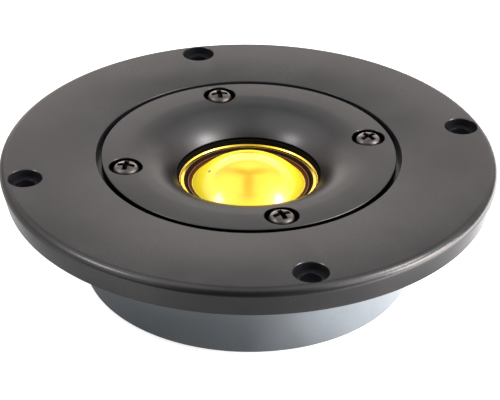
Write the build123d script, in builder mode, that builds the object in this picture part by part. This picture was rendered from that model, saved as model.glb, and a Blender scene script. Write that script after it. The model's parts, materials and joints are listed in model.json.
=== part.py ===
"""Flange-mount dome tweeter, as separate pieces.

Millimetres. The rear face of the front flange is Z = 0, the sound leaves along +Z,
and the terminals point along +Y.
"""

import os

from build123d import *

os.makedirs("parts", exist_ok=True)

# ---------------------------------------------------------------- driving dimensions

# front flange
flange_radius = 55.0          # widest, at the foot of the rounded front edge
flange_thickness = 6.7
flange_edge_round = 1.75
flange_draft = 1.0            # how far the side wall leans in at the rear
mount_hole_rim = 5.2          # from a mounting hole's axis out to the widest rim
mount_hole_radius = 2.2
mount_pocket_radius = 3.7
mount_pocket_depth = 1.7
mount_hole_count = 4
pattern_angle = 45.0          # holes and screws stand on the diagonals

# waveguide insert and the shadow groove around it
groove_width = 1.2
groove_depth = 2.4
boss_step = 1.9               # rim of the insert that clamps the flange
boss_clearance = 0.3
flare_width = 11.0
throat_margin = 1.7           # foil that shows inside the throat
throat_lip_height = 1.3
insert_edge_break = 0.25

# insert screws
screw_rim_wall = 1.2          # from a screw pocket out to the insert's rim
screw_pocket_gap = 0.9        # round the head
head_proud = 0.45             # head above the front face
screw_radius = 1.5
screw_hole_clearance = 0.2
thread_clearance = 0.05
screw_grip = 3.4              # thread engaged in the top plate
head_radius = 2.8
head_height = 2.15
head_round = 1.3
recess_arm_length = 4.1
recess_arm_width = 1.0
recess_depth = 1.1
recess_turns = (26.0, -6.0, -23.0, 10.0)   # each screw stops at its own angle

# gaskets, diaphragm frame and foil
spacer_gasket_thickness = 1.6
spacer_gasket_web = 3.2       # between its bore and the screw holes
gasket_gap = 0.4              # between the spacer gasket and what it surrounds
clamp_gasket_thickness = 1.3
clamp_recess_depth = 0.9      # in the insert's rear, over the gasket
clamp_recess_clearance = 0.4
clamp_gasket_reach = 0.35     # shows inside the throat's lip
foil_thickness = 0.2
foil_span = 1.8               # from the dome's foot out to the flat rim
foil_overhang = 0.4           # flat rim inside the frame's bore
foil_seat_width = 3.3
foil_seat_clearance = 0.1
frame_wall = 4.3              # outside the foil's seat
bead_offset = 0.95            # from the dome's foot to the bead's crown
bead_half_width = 0.3
bead_height = 0.22
valley_depth = 0.85           # dome's foot below the flat rim

# dome, former and voice coil
dome_radius = 12.5
dome_rise = 6.0
dome_skin = 0.2
dome_foot_width = 0.65
foil_dome_gap = 0.2
former_length = 4.6
coil_build = 0.45
coil_height = 2.2
inner_gap = 0.35
outer_gap = 0.4

# motor
top_plate_thickness = 4.0
relief_depth = 1.2            # lets the foil and the coil tails swing
magnet_thickness = 10.5
magnet_setback = 0.6          # behind the top plate's rim
magnet_bore_setback = 2.9     # behind the gap
back_plate_thickness = 3.6
back_plate_setback = 0.5      # behind the magnet's rim
cap_skin = 0.25
cap_drop = 0.1                # below the top plate's front face
cap_length = 4.5
felt_margin = 2.2
felt_thickness = 1.6

# outer cup
cup_radius = 37.2
cup_wall = 1.2
cup_floor = 1.2
cup_plate_gap = 0.4
cup_groove_depth = 0.6        # in the flange's rear, where the cup's rim sits
cup_groove_clearance = 0.3
cup_pad_margin = 4.5
cup_pad_thickness = 0.5
cup_edge_round = 0.6

# terminals
terminal_spacing = 8.4
blade_thickness = 0.8
positive_blade_width = 4.8
negative_blade_width = 2.8
blade_drop = 3.9              # underside of the outer blade, below the flange
blade_length = 7.1            # outside the block
blade_hole_radius = 0.65
blade_hole_from_tip = 2.4
block_width = 16.4
block_reach_in = 3.4          # inside the cup's wall
block_shoulder_gap = 0.3      # off the cup's wall
block_shoulder_length = 4.9
block_shoulder = 1.4          # how far the outer shoulder is proud of the neck
block_shoulder_drop = 1.0
block_top_gap = 0.1
notch_clearance = 0.3
tail_reach = 0.7              # bare tail inside the block's inner face

# lead wires, contact tags and coil tails
lead_radius = 0.4
lead_clearance = 0.1          # under the wire, over the top plate
lead_groove_clearance = 0.3
tag_width = 2.4
tag_length = 2.0
tag_setback = 0.4             # behind the frame's rim
tag_clearance = 0.1
tail_radius = 0.15
tail_slot_width = 1.0
tail_coil_gap = 0.25
tail_drop = 0.9
tail_bend = 0.7

# ---------------------------------------------------------------- worked-out places

plate_top = -spacer_gasket_thickness
plate_bottom = plate_top - top_plate_thickness
relief_floor = plate_top - relief_depth
magnet_bottom = plate_bottom - magnet_thickness
back_plate_bottom = magnet_bottom - back_plate_thickness
cup_pad_bottom = back_plate_bottom - cup_pad_thickness
cup_bottom = cup_pad_bottom - cup_floor
screw_end = plate_top - screw_grip

foil_top = clamp_recess_depth - clamp_gasket_thickness
foil_bottom = foil_top - foil_thickness
bead_radius_from_axis = dome_radius + bead_offset
foil_rim_bore = dome_radius + foil_span
frame_bore = foil_rim_bore + foil_overhang
foil_rim_radius = frame_bore + foil_seat_width
foil_seat_radius = foil_rim_radius + foil_seat_clearance
frame_radius = foil_seat_radius + frame_wall
spacer_gasket_bore = frame_radius + gasket_gap

screw_pocket_radius = head_radius + screw_pocket_gap
screw_pocket_depth = head_height - head_proud
screw_hole_radius = screw_radius + screw_hole_clearance
screw_circle = spacer_gasket_bore + spacer_gasket_web + screw_hole_radius
screw_seat = flange_thickness - screw_pocket_depth

throat_radius = foil_rim_bore + throat_margin
flare_radius = throat_radius + flare_width
clamp_gasket_bore = throat_radius - clamp_gasket_reach
clamp_recess_radius = frame_radius + clamp_recess_clearance
insert_radius = screw_circle + screw_pocket_radius + screw_rim_wall
boss_radius = insert_radius - boss_step
ledge_bore = boss_radius + boss_clearance
ledge_height = flange_thickness - groove_depth
groove_radius = insert_radius + groove_width
mount_circle = flange_radius - mount_hole_rim

dome_foot_top = foil_top - valley_depth
dome_foot_bottom = dome_foot_top - dome_skin
dome_apex = dome_foot_top + dome_rise
dome_foot_radius = dome_radius + dome_foot_width
former_bore = dome_radius - dome_skin
former_bottom = dome_foot_bottom - former_length
coil_radius = dome_radius + coil_build
gap_bore = coil_radius + outer_gap
gap_middle = (relief_floor + plate_bottom) / 2
cap_radius = former_bore - inner_gap
cap_top = plate_top - cap_drop
pole_radius = cap_radius - cap_skin
pole_top = cap_top - cap_skin
felt_radius = cap_radius - felt_margin

cup_bore = cup_radius - cup_wall
cup_top = cup_groove_depth
cup_groove_bore = cup_bore - cup_groove_clearance
cup_groove_radius = cup_radius + cup_groove_clearance
top_plate_radius = cup_bore - cup_plate_gap
magnet_radius = top_plate_radius - magnet_setback
magnet_bore = gap_bore + magnet_bore_setback
back_plate_radius = magnet_radius - back_plate_setback
cup_pad_radius = back_plate_radius - cup_pad_margin
spacer_gasket_radius = cup_bore - gasket_gap

terminal_x = terminal_spacing / 2
block_bottom = plate_bottom
block_inner_face = cup_bore - block_reach_in
block_shoulder_face = cup_radius + block_shoulder_gap
block_outer_face = block_shoulder_face + block_shoulder_length
blade_tip = block_outer_face + blade_length
terminal_relief_width = block_width + 2 * (block_shoulder + notch_clearance)
terminal_relief_face = blade_tip + notch_clearance
notch_half_width = block_width / 2 + notch_clearance
plate_notch_face = block_inner_face - notch_clearance
tail_end_face = block_inner_face - tail_reach
gasket_notch_face = tail_end_face - gasket_gap
lead_height = plate_top + lead_clearance + lead_radius
tag_outer_face = frame_radius - tag_setback
tag_inner_face = tag_outer_face - tag_length


# ---------------------------------------------------------------- front

with BuildPart() as front_flange:
    with BuildSketch(Plane.XZ):
        side_foot = (flange_radius - flange_draft, 0)
        side_top = (flange_radius, flange_thickness - flange_edge_round)
        land_edge = (flange_radius - flange_edge_round, flange_thickness)
        with BuildLine():
            Polyline(
                (ledge_bore, 0),
                (cup_groove_bore, 0),
                (cup_groove_bore, cup_groove_depth),
                (cup_groove_radius, cup_groove_depth),
                (cup_groove_radius, 0),
                side_foot,
                side_top,
            )
            RadiusArc(side_top, land_edge, -flange_edge_round)
            Polyline(
                land_edge,
                (groove_radius, flange_thickness),
                (groove_radius, ledge_height),
                (ledge_bore, ledge_height),
                (ledge_bore, 0),
            )
        make_face()
    revolve(axis=Axis.Z)
    with Locations((0, 0, flange_thickness)):
        with PolarLocations(mount_circle, mount_hole_count, start_angle=pattern_angle):
            CounterBoreHole(mount_hole_radius, mount_pocket_radius, mount_pocket_depth)
    with BuildSketch(Plane.XY):
        with Locations((0, (plate_notch_face + terminal_relief_face) / 2)):
            Rectangle(terminal_relief_width, terminal_relief_face - plate_notch_face)
    extrude(amount=cup_groove_depth, mode=Mode.SUBTRACT)
front_flange.part.label = "front_flange"
export_step(front_flange.part, "parts/front_flange.step")

with BuildPart() as waveguide_insert:
    with BuildSketch(Plane.XZ):
        flare_start = (flare_radius, flange_thickness)
        lip = (throat_radius, throat_lip_height)
        with BuildLine():
            Polyline(
                lip,
                (throat_radius, clamp_recess_depth),
                (clamp_recess_radius, clamp_recess_depth),
                (clamp_recess_radius, 0),
                (boss_radius, 0),
                (boss_radius, ledge_height),
                (insert_radius, ledge_height),
                (insert_radius, flange_thickness - insert_edge_break),
                (insert_radius - insert_edge_break, flange_thickness),
                flare_start,
            )
            TangentArc(flare_start, lip, tangent=(-1, 0))
        make_face()
    revolve(axis=Axis.Z)
    with Locations((0, 0, flange_thickness)):
        with PolarLocations(screw_circle, mount_hole_count, start_angle=pattern_angle):
            CounterBoreHole(screw_hole_radius, screw_pocket_radius, screw_pocket_depth)
waveguide_insert.part.label = "waveguide_insert"
export_step(waveguide_insert.part, "parts/waveguide_insert.step")

with BuildPart() as waveguide_screws:
    with BuildSketch(Plane.XY.offset(screw_seat)):
        with PolarLocations(screw_circle, mount_hole_count, start_angle=pattern_angle):
            Circle(head_radius)
    extrude(amount=head_height)
    fillet(waveguide_screws.edges().group_by(Axis.Z)[-1], head_round)
    with BuildSketch(Plane.XY.offset(screw_end)):
        with PolarLocations(screw_circle, mount_hole_count, start_angle=pattern_angle):
            Circle(screw_radius)
    extrude(amount=screw_seat - screw_end)
    head_top = screw_seat + head_height
    with BuildSketch(Plane.XY.offset(head_top - recess_depth)):
        screw_places = PolarLocations(screw_circle, mount_hole_count, start_angle=pattern_angle)
        for place, turn in zip(screw_places.locations, recess_turns):
            with Locations(place):
                Rectangle(recess_arm_length, recess_arm_width, rotation=turn)
                Rectangle(recess_arm_width, recess_arm_length, rotation=turn)
    extrude(amount=recess_depth, mode=Mode.SUBTRACT)
waveguide_screws.part.label = "waveguide_screws"
export_step(waveguide_screws.part, "parts/waveguide_screws.step")

# ---------------------------------------------------------------- terminals

terminals = {}
for side, sign, blade_width in (
    ("positive", 1, positive_blade_width),
    ("negative", -1, negative_blade_width),
):
    web_inner = block_inner_face + blade_thickness / 2
    web_outer = web_inner + blade_thickness
    tail_top = lead_height + blade_thickness / 2
    tail_bottom = tail_top - blade_thickness
    blade_top = -blade_drop + blade_thickness
    with BuildPart() as terminal:
        with BuildSketch(Plane.YZ.offset(sign * terminal_x - blade_width / 2)):
            with BuildLine():
                Polyline(
                    (tail_end_face, tail_bottom),
                    (web_inner, tail_bottom),
                    (web_inner, -blade_drop),
                    (blade_tip, -blade_drop),
                    (blade_tip, blade_top),
                    (web_outer, blade_top),
                    (web_outer, tail_top),
                    (tail_end_face, tail_top),
                    close=True,
                )
            make_face()
        extrude(amount=blade_width)
        tip_corners = terminal.edges().filter_by(Axis.Z).group_by(Axis.Y)[-1]
        chamfer(tip_corners, blade_thickness)
        with Locations((sign * terminal_x, blade_tip - blade_hole_from_tip, blade_top)):
            Hole(blade_hole_radius, depth=2 * blade_thickness)
    terminal.part.label = f"terminal_{side}"
    export_step(terminal.part, f"parts/terminal_{side}.step")
    terminals[side] = terminal

with BuildPart() as terminal_block:
    with BuildSketch(Plane.XY.offset(block_bottom)):
        with Locations((0, (block_inner_face + block_outer_face) / 2)):
            Rectangle(block_width, block_outer_face - block_inner_face)
    extrude(amount=-block_top_gap - block_bottom)
    with BuildSketch(Plane.XY.offset(block_bottom - block_shoulder_drop)):
        with Locations((0, (block_shoulder_face + block_outer_face) / 2)):
            Rectangle(block_width + 2 * block_shoulder, block_outer_face - block_shoulder_face)
    extrude(amount=-block_top_gap - block_bottom + block_shoulder_drop)
    shoulder_edges = terminal_block.edges().filter_by(Axis.Z).group_by(Axis.Y)[-1]
    fillet(shoulder_edges, block_shoulder / 2)
    add(terminals["positive"].part, mode=Mode.SUBTRACT)
    add(terminals["negative"].part, mode=Mode.SUBTRACT)
terminal_block.part.label = "terminal_block"
export_step(terminal_block.part, "parts/terminal_block.step")

for side, sign in (("positive", 1), ("negative", -1)):
    with BuildPart() as lead_wire:
        with BuildSketch(Plane.XZ.offset(-tag_outer_face)):
            with Locations((sign * terminal_x, lead_height)):
                Circle(lead_radius)
        extrude(amount=-(tail_end_face - tag_outer_face))
    lead_wire.part.label = f"lead_wire_{side}"
    export_step(lead_wire.part, f"parts/lead_wire_{side}.step")

    with BuildPart() as contact_tag:
        with BuildSketch(Plane.XY.offset(lead_height - lead_radius)):
            with Locations((sign * terminal_x, tag_outer_face - tag_length / 2)):
                Rectangle(tag_width, tag_length)
        extrude(amount=2 * lead_radius)
    contact_tag.part.label = f"contact_tag_{side}"
    export_step(contact_tag.part, f"parts/contact_tag_{side}.step")

    former_y = (dome_radius**2 - terminal_x**2) ** 0.5
    tail_start = (sign * terminal_x, tag_inner_face, lead_height)
    with BuildPart() as coil_tail:
        with BuildLine():
            FilletPolyline(
                tail_start,
                (sign * terminal_x, frame_bore, lead_height),
                (sign * terminal_x, gap_bore, lead_height - tail_drop),
                (sign * terminal_x, former_y + tail_coil_gap, lead_height - tail_drop),
                radius=tail_bend,
            )
        with BuildSketch(Plane(origin=tail_start, z_dir=(0, -1, 0))):
            Circle(tail_radius)
        sweep()
    coil_tail.part.label = f"coil_tail_{side}"
    export_step(coil_tail.part, f"parts/coil_tail_{side}.step")

# ---------------------------------------------------------------- gaskets and frame

with BuildPart() as spacer_gasket:
    with BuildSketch(Plane.XY.offset(plate_top)):
        Circle(spacer_gasket_radius)
        Circle(spacer_gasket_bore, mode=Mode.SUBTRACT)
        with PolarLocations(screw_circle, mount_hole_count, start_angle=pattern_angle):
            Circle(screw_hole_radius, mode=Mode.SUBTRACT)
        with Locations((0, gasket_notch_face)):
            Rectangle(
                2 * notch_half_width,
                cup_radius,
                align=(Align.CENTER, Align.MIN),
                mode=Mode.SUBTRACT,
            )
    extrude(amount=spacer_gasket_thickness)
    with BuildSketch(Plane.XY.offset(plate_top)):
        with Locations((-terminal_x, 0), (terminal_x, 0)):
            Rectangle(
                2 * lead_radius + lead_groove_clearance,
                cup_radius,
                align=(Align.CENTER, Align.MIN),
            )
    extrude(amount=lead_height + lead_radius - plate_top + tag_clearance, mode=Mode.SUBTRACT)
spacer_gasket.part.label = "spacer_gasket"
export_step(spacer_gasket.part, "parts/spacer_gasket.step")

with BuildPart() as clamp_gasket:
    with BuildSketch(Plane.XY.offset(foil_top)):
        Circle(frame_radius)
        Circle(clamp_gasket_bore, mode=Mode.SUBTRACT)
    extrude(amount=clamp_gasket_thickness)
clamp_gasket.part.label = "clamp_gasket"
export_step(clamp_gasket.part, "parts/clamp_gasket.step")

with BuildPart() as diaphragm_frame:
    with BuildSketch(Plane.XZ):
        with BuildLine():
            Polyline(
                (frame_bore, plate_top),
                (frame_radius, plate_top),
                (frame_radius, foil_top),
                (foil_seat_radius, foil_top),
                (foil_seat_radius, foil_bottom),
                (frame_bore, foil_bottom),
                close=True,
            )
        make_face()
    revolve(axis=Axis.Z)
    with BuildSketch(Plane.XY.offset(plate_top)):
        with Locations((-terminal_x, 0), (terminal_x, 0)):
            Rectangle(tail_slot_width, frame_radius, align=(Align.CENTER, Align.MIN))
    extrude(amount=lead_height + tail_radius - plate_top + tag_clearance, mode=Mode.SUBTRACT)
    with BuildSketch(Plane.XY.offset(plate_top)):
        with Locations((-terminal_x, tag_inner_face), (terminal_x, tag_inner_face)):
            Rectangle(tag_width, frame_radius, align=(Align.CENTER, Align.MIN))
    extrude(amount=lead_height + lead_radius - plate_top, mode=Mode.SUBTRACT)
diaphragm_frame.part.label = "diaphragm_frame"
export_step(diaphragm_frame.part, "parts/diaphragm_frame.step")

# ---------------------------------------------------------------- diaphragm

with BuildPart() as dome:
    with BuildSketch(Plane.XZ):
        with BuildLine():
            TangentArc((0, dome_apex), (dome_radius, dome_foot_top), tangent=(1, 0))
            Polyline(
                (dome_radius, dome_foot_top),
                (dome_foot_radius, dome_foot_top),
                (dome_foot_radius, dome_foot_bottom),
                (former_bore, dome_foot_bottom),
            )
            TangentArc(
                (0, dome_apex - dome_skin), (former_bore, dome_foot_bottom), tangent=(1, 0)
            )
            Line((0, dome_apex - dome_skin), (0, dome_apex))
        make_face()
    revolve(axis=Axis.Z)
dome.part.label = "dome"
export_step(dome.part, "parts/dome.step")

with BuildPart() as voice_coil_former:
    with BuildSketch(Plane.XY.offset(former_bottom)):
        Circle(dome_radius)
        Circle(former_bore, mode=Mode.SUBTRACT)
    extrude(amount=former_length)
voice_coil_former.part.label = "voice_coil_former"
export_step(voice_coil_former.part, "parts/voice_coil_former.step")

with BuildPart() as voice_coil:
    with BuildSketch(Plane.XY.offset(gap_middle - coil_height / 2)):
        Circle(coil_radius)
        Circle(dome_radius, mode=Mode.SUBTRACT)
    extrude(amount=coil_height)
voice_coil.part.label = "voice_coil"
export_step(voice_coil.part, "parts/voice_coil.step")

with BuildPart() as surround:
    with BuildSketch(Plane.XZ):
        foil_bore = dome_radius + foil_dome_gap
        foot_skin_top = dome_foot_top + foil_thickness
        bead_in = bead_radius_from_axis - bead_half_width
        bead_out = bead_radius_from_axis + bead_half_width
        with BuildLine():
            for drop in (0, foil_thickness):
                low = foot_skin_top - drop
                Line((foil_bore, low), (bead_in, low))
                ThreePointArc(
                    (bead_in, low), (bead_radius_from_axis, low + bead_height), (bead_out, low)
                )
                Line((bead_out, low), (foil_rim_bore, foil_top - drop))
                Line((foil_rim_bore, foil_top - drop), (foil_rim_radius, foil_top - drop))
            Line((foil_bore, dome_foot_top), (foil_bore, foot_skin_top))
            Line((foil_rim_radius, foil_bottom), (foil_rim_radius, foil_top))
        make_face()
    revolve(axis=Axis.Z)
surround.part.label = "surround"
export_step(surround.part, "parts/surround.step")

# ---------------------------------------------------------------- motor

with BuildPart() as top_plate:
    with BuildSketch(Plane.XY.offset(plate_bottom)):
        Circle(top_plate_radius)
        Circle(gap_bore, mode=Mode.SUBTRACT)
        with PolarLocations(screw_circle, mount_hole_count, start_angle=pattern_angle):
            Circle(screw_radius + thread_clearance, mode=Mode.SUBTRACT)
        with Locations((0, plate_notch_face)):
            Rectangle(
                2 * notch_half_width,
                cup_radius,
                align=(Align.CENTER, Align.MIN),
                mode=Mode.SUBTRACT,
            )
    extrude(amount=top_plate_thickness)
    with BuildSketch(Plane.XY.offset(relief_floor)):
        Circle(frame_bore)
    extrude(amount=relief_depth, mode=Mode.SUBTRACT)
top_plate.part.label = "top_plate"
export_step(top_plate.part, "parts/top_plate.step")

with BuildPart() as magnet_ring:
    with BuildSketch(Plane.XY.offset(magnet_bottom)):
        Circle(magnet_radius)
        Circle(magnet_bore, mode=Mode.SUBTRACT)
    extrude(amount=magnet_thickness)
magnet_ring.part.label = "magnet_ring"
export_step(magnet_ring.part, "parts/magnet_ring.step")

with BuildPart() as back_plate:
    with BuildSketch(Plane.XY.offset(back_plate_bottom)):
        Circle(back_plate_radius)
        Circle(pole_radius, mode=Mode.SUBTRACT)
    extrude(amount=back_plate_thickness)
back_plate.part.label = "back_plate"
export_step(back_plate.part, "parts/back_plate.step")

with BuildPart() as pole_piece:
    with BuildSketch(Plane.XY.offset(back_plate_bottom)):
        Circle(pole_radius)
    extrude(amount=pole_top - back_plate_bottom)
pole_piece.part.label = "pole_piece"
export_step(pole_piece.part, "parts/pole_piece.step")

with BuildPart() as copper_cap:
    with BuildSketch(Plane.XY.offset(cap_top - cap_length)):
        Circle(cap_radius)
    extrude(amount=cap_length)
    with BuildSketch(Plane.XY.offset(cap_top - cap_length)):
        Circle(pole_radius)
    extrude(amount=pole_top - cap_top + cap_length, mode=Mode.SUBTRACT)
copper_cap.part.label = "copper_cap"
export_step(copper_cap.part, "parts/copper_cap.step")

with BuildPart() as damping_felt:
    with BuildSketch(Plane.XY.offset(cap_top)):
        Circle(felt_radius)
    extrude(amount=felt_thickness)
damping_felt.part.label = "damping_felt"
export_step(damping_felt.part, "parts/damping_felt.step")

# ---------------------------------------------------------------- outer cup

with BuildPart() as cup_pad:
    with BuildSketch(Plane.XY.offset(cup_pad_bottom)):
        Circle(cup_pad_radius)
    extrude(amount=cup_pad_thickness)
cup_pad.part.label = "cup_pad"
export_step(cup_pad.part, "parts/cup_pad.step")

with BuildPart() as magnet_cup:
    with BuildSketch(Plane.XY.offset(cup_bottom)):
        Circle(cup_radius)
    extrude(amount=cup_top - cup_bottom)
    fillet(magnet_cup.edges().group_by(Axis.Z)[0], cup_edge_round)
    with BuildSketch(Plane.XY.offset(cup_pad_bottom)):
        Circle(cup_bore)
    extrude(amount=cup_top - cup_pad_bottom, mode=Mode.SUBTRACT)
    with BuildSketch(Plane.XY.offset(block_bottom - block_top_gap)):
        with Locations((0, block_inner_face)):
            Rectangle(2 * notch_half_width, cup_radius, align=(Align.CENTER, Align.MIN))
    extrude(amount=cup_top - block_bottom + block_top_gap, mode=Mode.SUBTRACT)
magnet_cup.part.label = "magnet_cup"
export_step(magnet_cup.part, "parts/magnet_cup.step")
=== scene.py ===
"""A flange-mount dome tweeter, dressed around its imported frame.

Lengths in the classes are millimetres and become metres when a mesh is made. The rear of the
flange is Z = 0, the sound leaves along +Z and the terminals point along +Y.
"""

import json
import logging
import math
from dataclasses import dataclass, field
from enum import Enum

import bmesh
import bpy
from mathutils import Matrix, Vector


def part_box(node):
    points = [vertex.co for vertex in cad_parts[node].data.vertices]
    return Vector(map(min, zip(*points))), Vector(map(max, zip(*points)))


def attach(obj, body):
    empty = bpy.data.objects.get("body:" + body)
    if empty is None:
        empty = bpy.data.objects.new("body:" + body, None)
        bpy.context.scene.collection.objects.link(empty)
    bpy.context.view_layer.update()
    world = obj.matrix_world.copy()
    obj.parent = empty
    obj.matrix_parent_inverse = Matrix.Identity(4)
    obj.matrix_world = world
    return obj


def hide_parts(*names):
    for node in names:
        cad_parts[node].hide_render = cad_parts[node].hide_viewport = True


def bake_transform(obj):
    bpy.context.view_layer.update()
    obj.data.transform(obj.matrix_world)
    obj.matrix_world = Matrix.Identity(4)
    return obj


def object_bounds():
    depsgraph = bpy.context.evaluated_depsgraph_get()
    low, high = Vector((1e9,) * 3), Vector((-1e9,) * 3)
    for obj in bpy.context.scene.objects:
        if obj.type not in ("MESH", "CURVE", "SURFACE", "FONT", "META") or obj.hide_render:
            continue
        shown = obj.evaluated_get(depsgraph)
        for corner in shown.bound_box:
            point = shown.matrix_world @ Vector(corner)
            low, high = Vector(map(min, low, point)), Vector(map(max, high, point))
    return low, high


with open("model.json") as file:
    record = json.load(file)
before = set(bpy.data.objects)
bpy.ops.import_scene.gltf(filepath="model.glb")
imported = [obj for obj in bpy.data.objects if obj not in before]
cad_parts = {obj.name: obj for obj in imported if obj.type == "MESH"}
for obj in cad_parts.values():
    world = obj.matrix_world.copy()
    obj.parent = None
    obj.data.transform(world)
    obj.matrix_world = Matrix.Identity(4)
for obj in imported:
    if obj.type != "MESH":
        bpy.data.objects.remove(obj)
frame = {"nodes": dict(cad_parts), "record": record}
CAD_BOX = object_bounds()

LOG = logging.getLogger("tweeter")
MM = 0.001

Colour = tuple[float, float, float]
Triple = tuple[float, float, float]
Point = tuple[float, float]

EVEN: Triple = (1.0, 1.0, 1.0)
UP: Triple = (0.0, 0.0, 1.0)
LEVEL: Triple = (1.0, 1.0, 0.0)
ORIGIN: Triple = (0.0, 0.0, 0.0)
WHITE: Colour = (1.0, 1.0, 1.0)


def metres(millimetres: tuple[float, ...]) -> tuple[float, ...]:
    """The same lengths in metres."""
    return tuple(value * MM for value in millimetres)


class Body(Enum):
    """The bodies that the joint moves apart."""

    CHASSIS = "chassis"
    DIAPHRAGM = "diaphragm"


class Slot(Enum):
    """The record's material slots."""

    FRONT = "front_aluminium"
    INSERT = "insert_aluminium"
    SCREW = "nickel_screw"
    GOLD = "gold_foil"
    STEEL = "zinc_steel"
    FERRITE = "ferrite"
    COPPER = "copper"
    TIN = "tinned_brass"
    PLASTIC = "black_plastic"
    FILM = "brown_film"
    FOAM = "foam"
    FELT = "felt"
    SLEEVE = "wire_sleeve"


# ------------------------------------------------------------------ shader arithmetic


class ShaderTree:
    """The node tree of one material or of the world."""

    MIX_FIRST = 6
    MIX_SECOND = 7
    MIX_RESULT = 2

    def __init__(self, owner: bpy.types.ID) -> None:
        """Empties the owner's node tree.

        Args:
            owner: a material or a world.
        """
        owner.use_nodes = True
        self.tree = owner.node_tree
        self.tree.nodes.clear()

    def node(
        self, kind: str, settings: dict | None = None, values: dict | None = None,
    ) -> bpy.types.Node:
        """Adds one node.

        Args:
            kind: the node's type, such as "ShaderNodeMath".
            settings: properties that are set first; "stops" fills a ramp with (place, level) pairs.
            values: for each socket, by name or index, a value or a link.

        Returns:
            The new node.
        """
        made = self.tree.nodes.new(kind)
        for name, value in (settings or {}).items():
            if name == "stops":
                self._fill_ramp(made.color_ramp, value)
            else:
                setattr(made, name, value)
        for name, value in (values or {}).items():
            if isinstance(value, Field):
                value = value.socket
            if isinstance(value, bpy.types.NodeSocket):
                self.tree.links.new(value, made.inputs[name])
            elif isinstance(value, tuple) and len(value) == 3 and made.inputs[name].type == "RGBA":
                made.inputs[name].default_value = (*value, 1.0)
            else:
                made.inputs[name].default_value = value
        return made

    @staticmethod
    def _fill_ramp(ramp: bpy.types.ColorRamp, stops: list[Point]) -> None:
        """Gives a ramp its stops.

        Args:
            ramp: the ramp to fill.
            stops: for each stop, its place from 0 to 1 and its grey level.
        """
        while len(ramp.elements) < len(stops):
            ramp.elements.new(1.0)
        for element, (position, level) in zip(ramp.elements, stops):
            element.position = position
            element.color = (level, level, level, 1.0)

    def place(self) -> "Direction":
        """The point on the piece, in metres."""
        return Direction(self, self.node("ShaderNodeTexCoord").outputs["Object"])

    def noise(self, scale: float, detail: float = 2.0, stretch: Triple = EVEN) -> "Field":
        """Soft noise.

        Args:
            scale: cells per metre.
            detail: octaves.
            stretch: factors on the three axes.

        Returns:
            A value from 0 to 1.
        """
        point = self.place().times(stretch).socket
        values = {"Vector": point, "Scale": scale, "Detail": detail}
        return Field(self, self.node("ShaderNodeTexNoise", {}, values).outputs["Fac"])

    def cells(self, scale: float) -> "Field":
        """Distance to the nearest of scattered points, from 0 up."""
        values = {"Vector": self.place().socket, "Scale": scale}
        return Field(self, self.node("ShaderNodeTexVoronoi", {}, values).outputs["Distance"])

    def mix(
        self, mask: "Field | float",
        first: "Colour | bpy.types.NodeSocket", second: "Colour | bpy.types.NodeSocket",
    ) -> bpy.types.NodeSocket:
        """Blends two colours.

        Args:
            mask: 0 for the first colour, 1 for the second one.
            first: a colour or the link to one.
            second: a colour or the link to one.

        Returns:
            The link to the blended colour.
        """
        made = self.node("ShaderNodeMix", {"data_type": "RGBA"}, {"Factor": mask})
        for index, colour in ((self.MIX_FIRST, first), (self.MIX_SECOND, second)):
            if isinstance(colour, bpy.types.NodeSocket):
                self.tree.links.new(colour, made.inputs[index])
            else:
                made.inputs[index].default_value = (*colour, 1.0)
        return made.outputs[self.MIX_RESULT]

    def bump(self, height: "Field", depth: float, strength: float = 1.0) -> bpy.types.NodeSocket:
        """A normal from a height field, whose 0 to 1 stands for depth metres."""
        values = {"Height": height, "Distance": depth, "Strength": strength}
        return self.node("ShaderNodeBump", {}, values).outputs["Normal"]


    def ray(self, kind: str) -> "Field":
        """1 for rays of one kind, such as "Is Camera Ray", and 0 for the others."""
        return Field(self, self.node("ShaderNodeLightPath").outputs[kind])

    def glow(self, strength: "Field") -> bpy.types.NodeSocket:
        """A surface that gives off white light."""
        values = {"Color": WHITE, "Strength": strength}
        return self.node("ShaderNodeEmission", {}, values).outputs[0]


class Field:
    """A number that varies over a surface, for use in plain arithmetic."""

    def __init__(self, shader: ShaderTree, socket: bpy.types.NodeSocket) -> None:
        """Wraps an output socket of the shader's tree."""
        self.shader = shader
        self.socket = socket

    def _math(self, operation: str, *operands: "Field | float") -> "Field":
        """Adds one Math node on the operands."""
        settings, values = {"operation": operation}, dict(enumerate(operands))
        return Field(self.shader, self.shader.node("ShaderNodeMath", settings, values).outputs[0])

    def __add__(self, other: "Field | float") -> "Field":
        """self + other"""
        return self._math("ADD", self, other)

    __radd__ = __add__

    def __sub__(self, other: "Field | float") -> "Field":
        """self - other"""
        return self._math("SUBTRACT", self, other)

    def __rsub__(self, other: float) -> "Field":
        """other - self"""
        return self._math("SUBTRACT", other, self)

    def __mul__(self, other: "Field | float") -> "Field":
        """self * other"""
        return self._math("MULTIPLY", self, other)

    __rmul__ = __mul__

    def __truediv__(self, other: "Field | float") -> "Field":
        """self / other"""
        return self._math("DIVIDE", self, other)

    def sine(self) -> "Field":
        """The sine, in radians."""
        return self._math("SINE", self)

    def size(self) -> "Field":
        """The value without its sign."""
        return self._math("ABSOLUTE", self)

    def step_up(self, low: float, high: float) -> "Field":
        """A smooth step.

        Args:
            low: where the step starts to rise.
            high: where it is full.

        Returns:
            0 up to low, 1 from high on.
        """
        made = self.shader.node(
            "ShaderNodeMapRange", {"interpolation_type": "SMOOTHSTEP"},
            {"Value": self, "From Min": low, "From Max": high},
        )
        return Field(self.shader, made.outputs["Result"])

    def band(self, low: Point, high: Point) -> "Field":
        """A smooth band.

        Args:
            low: where the rise starts and where it is full.
            high: where the fall starts and where it ends.

        Returns:
            1 between the rise and the fall, 0 outside them.
        """
        return self.step_up(*low) * (1 - self.step_up(*high))


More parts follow.
